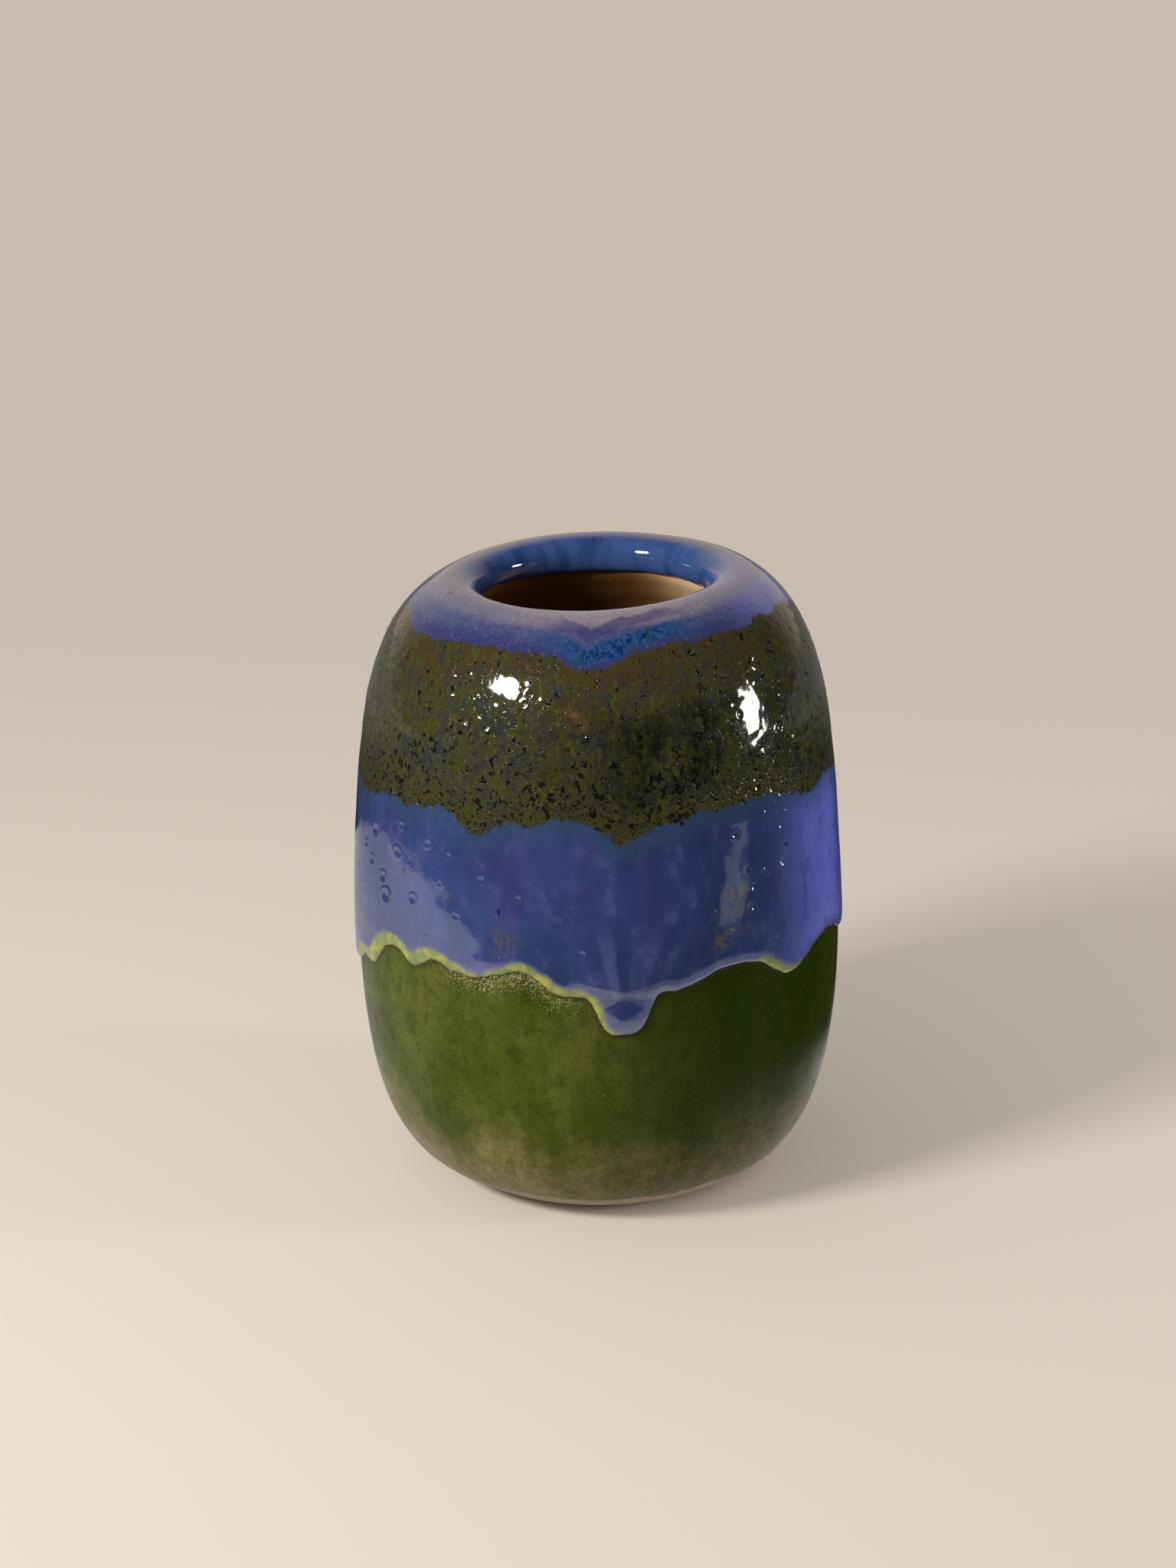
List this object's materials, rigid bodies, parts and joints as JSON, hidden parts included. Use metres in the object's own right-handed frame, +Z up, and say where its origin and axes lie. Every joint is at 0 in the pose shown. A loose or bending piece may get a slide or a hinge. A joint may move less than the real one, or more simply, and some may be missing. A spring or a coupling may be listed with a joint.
{
  "type": "ceramic bud vase",
  "caption": "Small barrel-shaped ceramic bud vase with a rolled lip, and green, blue and speckled olive glazes that run into each other in drips.",
  "frame": {"origin": "middle of the flat foot, on the surface that the vase stands on", "axes": "+Z up through the mouth; -Y is the side with the longest drip at the front; +X to the right seen from there"},
  "size_m": [0.0747, 0.0748, 0.0942],
  "materials": {
    "clay": "bare fired stoneware, matte",
    "green_glaze": "glossy translucent deep green glaze",
    "blue_glaze": "thick glossy cobalt blue glaze",
    "olive_glaze": "glossy olive glaze with dark speckles",
    "rim_glaze": "satin blue and lavender glaze"
  },
  "bodies": {
    "root": {"clay_body": "clay", "green_lower_glaze": "green_glaze", "blue_middle_glaze": "blue_glaze", "olive_speckled_glaze": "olive_glaze", "blue_rim_glaze": "rim_glaze"}
  },
  "joints": []
}
